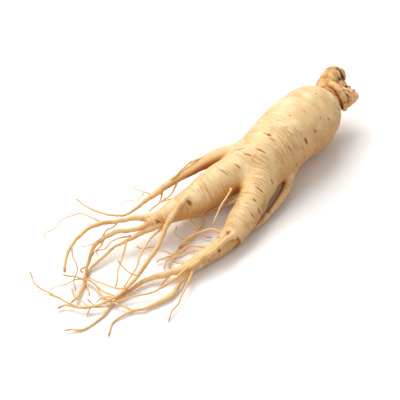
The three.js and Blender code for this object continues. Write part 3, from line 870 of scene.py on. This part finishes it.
class GinsengShape(bpy.types.PropertyGroup):
    """Sizes of the root's surface detail."""

    skin_cell_mm: FloatProperty(name="Skin cell", description="Face size on the trunk, mm", default=0.62)
    crown_cell_mm: FloatProperty(name="Crown cell", description="Face size on the crown, mm", default=0.34)
    blend_mm: FloatProperty(name="Blend", description="How softly limbs run together, mm", default=1.5)
    lump_mm: FloatProperty(name="Lumps", description="Depth of slow lumps, mm", default=0.7)
    ring_mm: FloatProperty(name="Rings", description="Depth of growth rings, mm", default=0.5)
    root_step_mm: FloatProperty(name="Root step", description="Ring spacing on fine roots, mm", default=0.7)
    root_sides: IntProperty(name="Root sides", description="Faces round a long root", default=14)
    hair_sides: IntProperty(name="Hair sides", description="Faces round a hair root", default=9)


class GinsengColours(bpy.types.PropertyGroup):
    """Colours of the root, as linear values."""

    # Cream and tan mix at random, with more tan where the skin faces down, so they are partly painted light and
    # shade.
    cream: FloatVectorProperty(name="Cream", description="Pale skin", subtype="COLOR", default=(0.83, 0.585, 0.295))
    tan: FloatVectorProperty(name="Tan", description="Darker skin", subtype="COLOR", default=(0.69, 0.42, 0.14))
    rootlet: FloatVectorProperty(name="Rootlet", description="Fine roots", subtype="COLOR",
                                 default=(0.82, 0.53, 0.235))
    # Kept to skin that faces up, so partly a painted highlight.
    pale: FloatVectorProperty(name="Pale", description="Bands of the palest skin", subtype="COLOR",
                              default=(0.92, 0.75, 0.48))
    # Painted shade on skin that faces down and in sheltered nooks of the trunk; on the fine roots it marks random
    # darker patches.
    under: FloatVectorProperty(name="Under", description="Skin that faces down", subtype="COLOR",
                               default=(0.65, 0.32, 0.075))
    bark: FloatVectorProperty(name="Bark", description="Crown skin", subtype="COLOR", default=(0.55, 0.265, 0.075))
    # Real scars, flecks and dashes, also used as painted shade in furrows and sheltered nooks.
    scar: FloatVectorProperty(name="Scar", description="Scars and flecks", subtype="COLOR",
                              default=(0.40, 0.15, 0.035))
    # Real cracks and scars, also used as painted shade in the crown's deepest nooks.
    crack: FloatVectorProperty(name="Crack", description="Deep cracks", subtype="COLOR",
                               default=(0.2, 0.065, 0.014))


class GinsengStage(bpy.types.PropertyGroup):
    """The table, the light and the camera."""

    floor_m: FloatProperty(name="Floor", description="Side of the floor", default=6.0, unit="LENGTH")
    key_azimuth: FloatProperty(name="Key azimuth", description="Degrees round from +X", default=54.0)
    key_elevation: FloatProperty(name="Key elevation", description="Degrees above the table", default=52.0)
    key_power: FloatProperty(name="Key power", description="Watts", default=7.3)
    fill_azimuth: FloatProperty(name="Fill azimuth", description="Degrees from +X", default=168)
    fill_power: FloatProperty(name="Fill power", description="Watts", default=2.6)
    surround: FloatVectorProperty(name="Surround", description="Colour of the even light", subtype="COLOR",
                                  default=(1.0, 0.945, 0.9))
    surround_power: FloatProperty(name="Surround power", description="Strength of the even light", default=0.54)
    lens_mm: FloatProperty(name="Lens", description="Focal length, mm", default=100.0)
    camera_azimuth: FloatProperty(name="Camera azimuth", description="Turn about the vertical",
                                  default=math.radians(-52), subtype="ANGLE", unit="ROTATION")
    camera_elevation: FloatProperty(name="Camera elevation", description="Height above the table",
                                    default=math.radians(45), subtype="ANGLE", unit="ROTATION")
    camera_distance: FloatProperty(name="Camera distance", description="From the aim point", default=0.6222,
                                   unit="LENGTH")
    aim_height_mm: FloatProperty(name="Aim height", description="Height of the aim point, mm", default=8.0)


class GINSENG_OT_body(bpy.types.Operator):
    """Build the trunk, legs and arms"""

    bl_idname = "ginseng.body"
    bl_label = "Root Body"

    def execute(self, context):
        finish_piece(build_body(context.scene.ginseng_shape), finish_named("root_skin", skin_finish))
        return {"FINISHED"}


class GINSENG_OT_crown(bpy.types.Operator):
    """Build the crown of old stem bases"""

    bl_idname = "ginseng.crown"
    bl_label = "Crown"

    def execute(self, context):
        finish_piece(build_crown(context.scene.ginseng_shape), finish_named("crown_bark", crown_finish))
        return {"FINISHED"}


class GINSENG_OT_long_roots(bpy.types.Operator):
    """Build the long tail roots"""

    bl_idname = "ginseng.long_roots"
    bl_label = "Long Roots"

    def execute(self, context):
        shape = context.scene.ginseng_shape
        piece = build_roots("long_roots", LONG_ROOTS.values(), shape.root_step_mm, shape.root_sides)
        finish_piece(piece, finish_named("rootlet_skin", rootlet_finish))
        return {"FINISHED"}


class GINSENG_OT_hair_roots(bpy.types.Operator):
    """Build the side shoots and hairs"""

    bl_idname = "ginseng.hair_roots"
    bl_label = "Hair Roots"

    def execute(self, context):
        shape = context.scene.ginseng_shape
        piece = build_roots("hair_roots", HAIR_ROOTS, shape.root_step_mm, shape.hair_sides)
        finish_piece(piece, finish_named("rootlet_skin", rootlet_finish))
        return {"FINISHED"}


class GINSENG_OT_stage(bpy.types.Operator):
    """Set the table, light and camera"""

    bl_idname = "ginseng.stage"
    bl_label = "Stage"

    def execute(self, context):
        settings = context.scene.ginseng_stage
        floor_piece(settings)
        light_studio(settings)
        place_camera(settings)
        context.scene.view_settings.view_transform = "Standard"
        return {"FINISHED"}


class GINSENG_PT_panel(bpy.types.Panel):
    """Lists the steps in the 3D view's sidebar"""

    bl_idname = "GINSENG_PT_panel"
    bl_label = "Ginseng Root"
    bl_space_type = "VIEW_3D"
    bl_region_type = "UI"
    bl_category = "Ginseng"

    def draw(self, context):
        for step in STEPS:
            self.layout.operator(step.bl_idname)
        for group in (context.scene.ginseng_shape, context.scene.ginseng_colours, context.scene.ginseng_stage):
            for name in group.__annotations__:
                self.layout.prop(group, name)


STEPS = (GINSENG_OT_body, GINSENG_OT_crown, GINSENG_OT_long_roots, GINSENG_OT_hair_roots, GINSENG_OT_stage)
CLASSES = (GinsengShape, GinsengColours, GinsengStage, *STEPS, GINSENG_PT_panel)


def register():
    for kind in CLASSES:
        bpy.utils.register_class(kind)
    bpy.types.Scene.ginseng_shape = PointerProperty(type=GinsengShape)
    bpy.types.Scene.ginseng_colours = PointerProperty(type=GinsengColours)
    bpy.types.Scene.ginseng_stage = PointerProperty(type=GinsengStage)


def unregister():
    del bpy.types.Scene.ginseng_stage
    del bpy.types.Scene.ginseng_colours
    del bpy.types.Scene.ginseng_shape
    for kind in reversed(CLASSES):
        bpy.utils.unregister_class(kind)


def main():
    register()
    bpy.ops.ginseng.body()
    bpy.ops.ginseng.crown()
    bpy.ops.ginseng.long_roots()
    bpy.ops.ginseng.hair_roots()
    bpy.ops.ginseng.stage()


if __name__ == "__main__":
    main()
